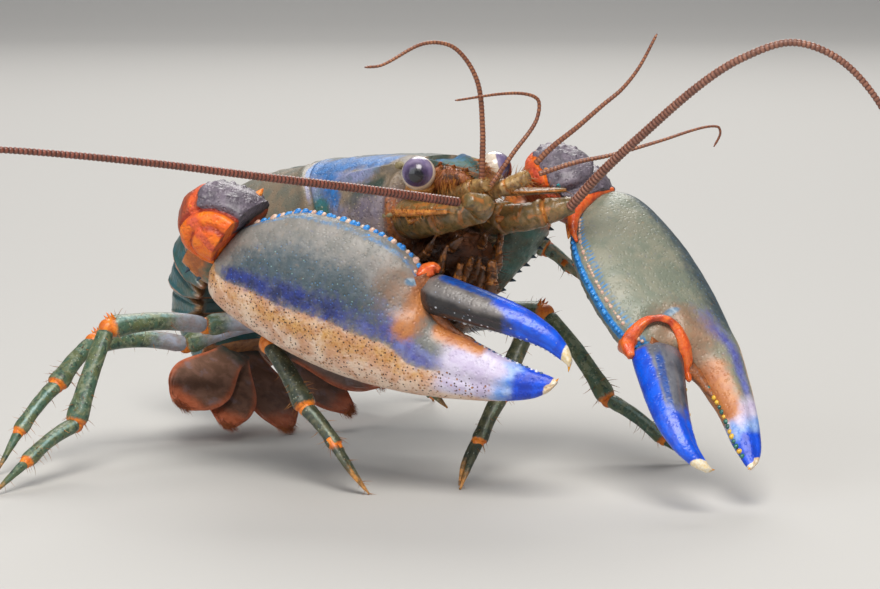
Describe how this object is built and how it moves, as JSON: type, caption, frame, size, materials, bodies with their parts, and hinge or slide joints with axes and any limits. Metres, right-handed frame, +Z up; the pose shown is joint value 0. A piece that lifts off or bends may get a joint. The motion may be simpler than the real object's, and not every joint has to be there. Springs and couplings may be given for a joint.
{
  "type": "crayfish display model",
  "caption": "Life-size still model of a blue-clawed freshwater crayfish (Cherax alyciae) standing on its walking legs with raised claws, long feelers and tucked tail.",
  "frame": {"origin": "on the floor that the feet stand on, under the middle of the box round the whole animal with its feelers", "axes": "+Z is up, the animal faces -Y and its left side is towards +X; X is the longest side of its box because the feelers reach far to the sides, and Z is the shortest"},
  "size_m": [0.1248, 0.0976, 0.0521],
  "materials": {
    "shell": "mottled grey-green shell with a blue band, satin wet sheen",
    "claw": "grey-green palm with a royal blue band and a speckled cream edge",
    "claw_finger": "slate at the hinge, vivid blue to the tip",
    "joint": "orange swollen joint with rough violet-grey top",
    "leg": "dark teal, mottled, with orange joints",
    "feeler": "finely ringed red-brown",
    "eye": "glossy violet-black",
    "mouthpart": "brown and orange, bristly",
    "tail_fan": "grey-brown ribbed blades with an orange-brown fringe"
  },
  "bodies": {
    "root": {"abdomen_1": "shell", "abdomen_2": "shell", "abdomen_3": "shell", "abdomen_4": "shell", "abdomen_5": "shell", "abdomen_6": "shell", "antenna_base_left": "mouthpart", "antenna_base_right": "mouthpart", "antenna_left_1": "feeler", "antenna_left_2": "feeler", "antenna_left_3": "feeler", "antenna_right_1": "feeler", "antenna_right_2": "feeler", "antenna_right_3": "feeler", "antenna_scale_left": "mouthpart", "antenna_scale_right": "mouthpart", "antennule_left": "mouthpart", "antennule_left_lower": "feeler", "antennule_left_upper": "feeler", "antennule_right": "mouthpart", "antennule_right_lower": "feeler", "antennule_right_upper": "feeler", "arm_left": "leg", "arm_right": "leg", "claw_finger_left": "claw_finger", "claw_finger_right": "claw_finger", "claw_palm_left": "claw", "claw_palm_right": "claw", "eye_left": "eye", "eye_right": "eye", "eyestalk_left": "joint", "eyestalk_right": "joint", "head": "shell", "jaw_foot_left": "mouthpart", "jaw_foot_right": "mouthpart", "leg_left_1_lower": "leg", "leg_left_1_upper": "leg", "leg_left_2_lower": "leg", "leg_left_2_upper": "leg", "leg_left_3_lower": "leg", "leg_left_3_upper": "leg", "leg_left_4_lower": "leg", "leg_left_4_upper": "leg", "leg_right_1_lower": "leg", "leg_right_1_upper": "leg", "leg_right_2_lower": "leg", "leg_right_2_upper": "leg", "leg_right_3_lower": "leg", "leg_right_3_upper": "leg", "leg_right_4_lower": "leg", "leg_right_4_upper": "leg", "mouth": "mouthpart", "tail_fan_left_inner": "tail_fan", "tail_fan_left_outer": "tail_fan", "tail_fan_right_inner": "tail_fan", "tail_fan_right_outer": "tail_fan", "telson": "tail_fan", "thorax": "shell", "wrist_left": "joint", "wrist_right": "joint"}
  },
  "joints": []
}
